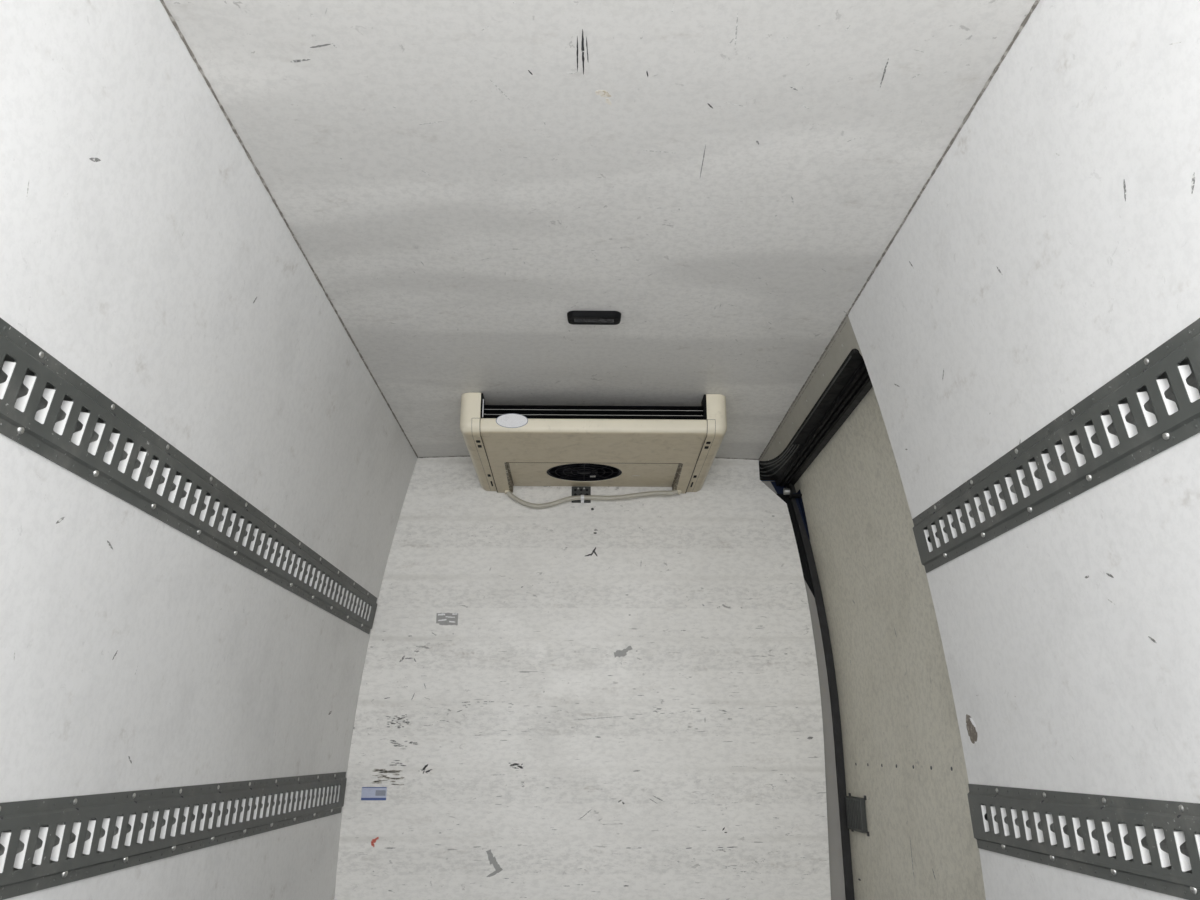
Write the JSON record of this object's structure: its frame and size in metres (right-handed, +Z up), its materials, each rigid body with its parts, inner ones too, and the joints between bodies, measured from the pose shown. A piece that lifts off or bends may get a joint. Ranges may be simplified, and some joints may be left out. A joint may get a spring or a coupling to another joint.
{
  "type": "insulated load compartment of a refrigerated panel van",
  "caption": "Insulated van load compartment with ceiling evaporator, roof unit, slotted cargo rails, side door and hinged rear doors.",
  "frame": {"origin": "under the middle cross member of the floor frame, on the floor it stands on", "axes": "+X to the right-hand side, +Y to the front bulkhead, +Z up"},
  "size_m": [1.997, 4.242, 2.356],
  "materials": {
    "lining": "white glass-fibre skin, scuffed",
    "floor": "grey non-slip floor",
    "frame_steel": "black chassis paint",
    "body_paint": "dark blue body paint",
    "door_lining": "grey-beige panel",
    "jamb": "grey trim",
    "seal": "black rubber",
    "black_plastic": "black moulding",
    "zinc": "zinc plate",
    "rail_paint": "dark grey-green paint",
    "cream_plastic": "aged ivory moulding",
    "fins": "finned coil",
    "hose": "beige-grey hose",
    "lamp_red": "red lens",
    "unit_cover": "white moulding"
  },
  "bodies": {
    "load_body": {"body_side_left": "body_paint", "body_side_right": "body_paint", "bulkhead_panel": "lining", "cargo_rail_left_lower": "rail_paint", "cargo_rail_left_upper": "rail_paint", "cargo_rail_right_lower": "rail_paint", "cargo_rail_right_upper": "rail_paint", "ceiling_lamp": "black_plastic", "ceiling_panel": "lining", "cross_members": "frame_steel", "drain_hose": "hose", "evaporator_cap_left": "cream_plastic", "evaporator_cap_right": "cream_plastic", "evaporator_coil": "fins", "evaporator_fan_guard": "black_plastic", "evaporator_fan_motor": "zinc", "evaporator_louvres": "black_plastic", "evaporator_tray": "cream_plastic", "floor_panel": "floor", "front_frame": "body_paint", "hose_bracket": "zinc", "lining_left": "lining", "lining_right": "lining", "long_members": "frame_steel", "rear_frame": "body_paint", "rear_hinge_brackets": "zinc", "rear_lamps": "lamp_red", "rear_step": "black_plastic", "roof_fan_guard_left": "black_plastic", "roof_fan_guard_right": "black_plastic", "roof_panel": "body_paint", "roof_unit_coil": "fins", "roof_unit_cover": "unit_cover", "roof_unit_rails": "zinc", "side_door_grip": "black_plastic", "side_door_header": "door_lining", "side_door_jamb": "jamb", "side_door_latch": "black_plastic", "side_door_lining": "door_lining", "side_door_rail": "zinc", "side_door_roller": "zinc", "side_door_seal": "seal", "side_door_shell": "body_paint", "side_door_track": "seal", "side_mouldings": "black_plastic", "wheel_box_left": "lining", "wheel_box_right": "lining"},
    "rear_door_left": {"rear_door_left": "body_paint", "rear_door_lining_left": "lining", "rear_door_seal_left": "seal", "rear_hinge_leaves_left": "zinc"},
    "rear_door_right": {"rear_door_right": "body_paint", "rear_door_lining_right": "lining", "rear_door_seal_right": "seal", "rear_hinge_leaves_right": "zinc", "rear_door_handle": "black_plastic"},
    "evaporator_fan": {"evaporator_fan": "black_plastic"},
    "roof_fan_left": {"roof_fan_left": "black_plastic"},
    "roof_fan_right": {"roof_fan_right": "black_plastic"}
  },
  "joints": [
    {"name": "rear_door_right_hinge", "type": "hinge", "parent": "load_body", "child": "rear_door_right", "pos_m": [0.8, -1.746, 1], "axis": [0, 0, 1], "range_deg": [-90, 90]},
    {"name": "rear_door_left_hinge", "type": "hinge", "parent": "load_body", "child": "rear_door_left", "pos_m": [-0.8, -1.746, 1], "axis": [0, 0, -1], "range_deg": [-90, 90]},
    {"name": "evaporator_fan_spin", "type": "hinge", "parent": "load_body", "child": "evaporator_fan", "pos_m": [-0.018, 1.385, 1.89814], "axis": [0, -0.0423, 0.9991], "continuous": true},
    {"name": "roof_fan_left_spin", "type": "hinge", "parent": "load_body", "child": "roof_fan_left", "pos_m": [-0.255, 1.2, 2.3], "axis": [0, 0, 1], "continuous": true},
    {"name": "roof_fan_right_spin", "type": "hinge", "parent": "load_body", "child": "roof_fan_right", "pos_m": [0.255, 1.2, 2.3], "axis": [0, 0, 1], "continuous": true}
  ]
}
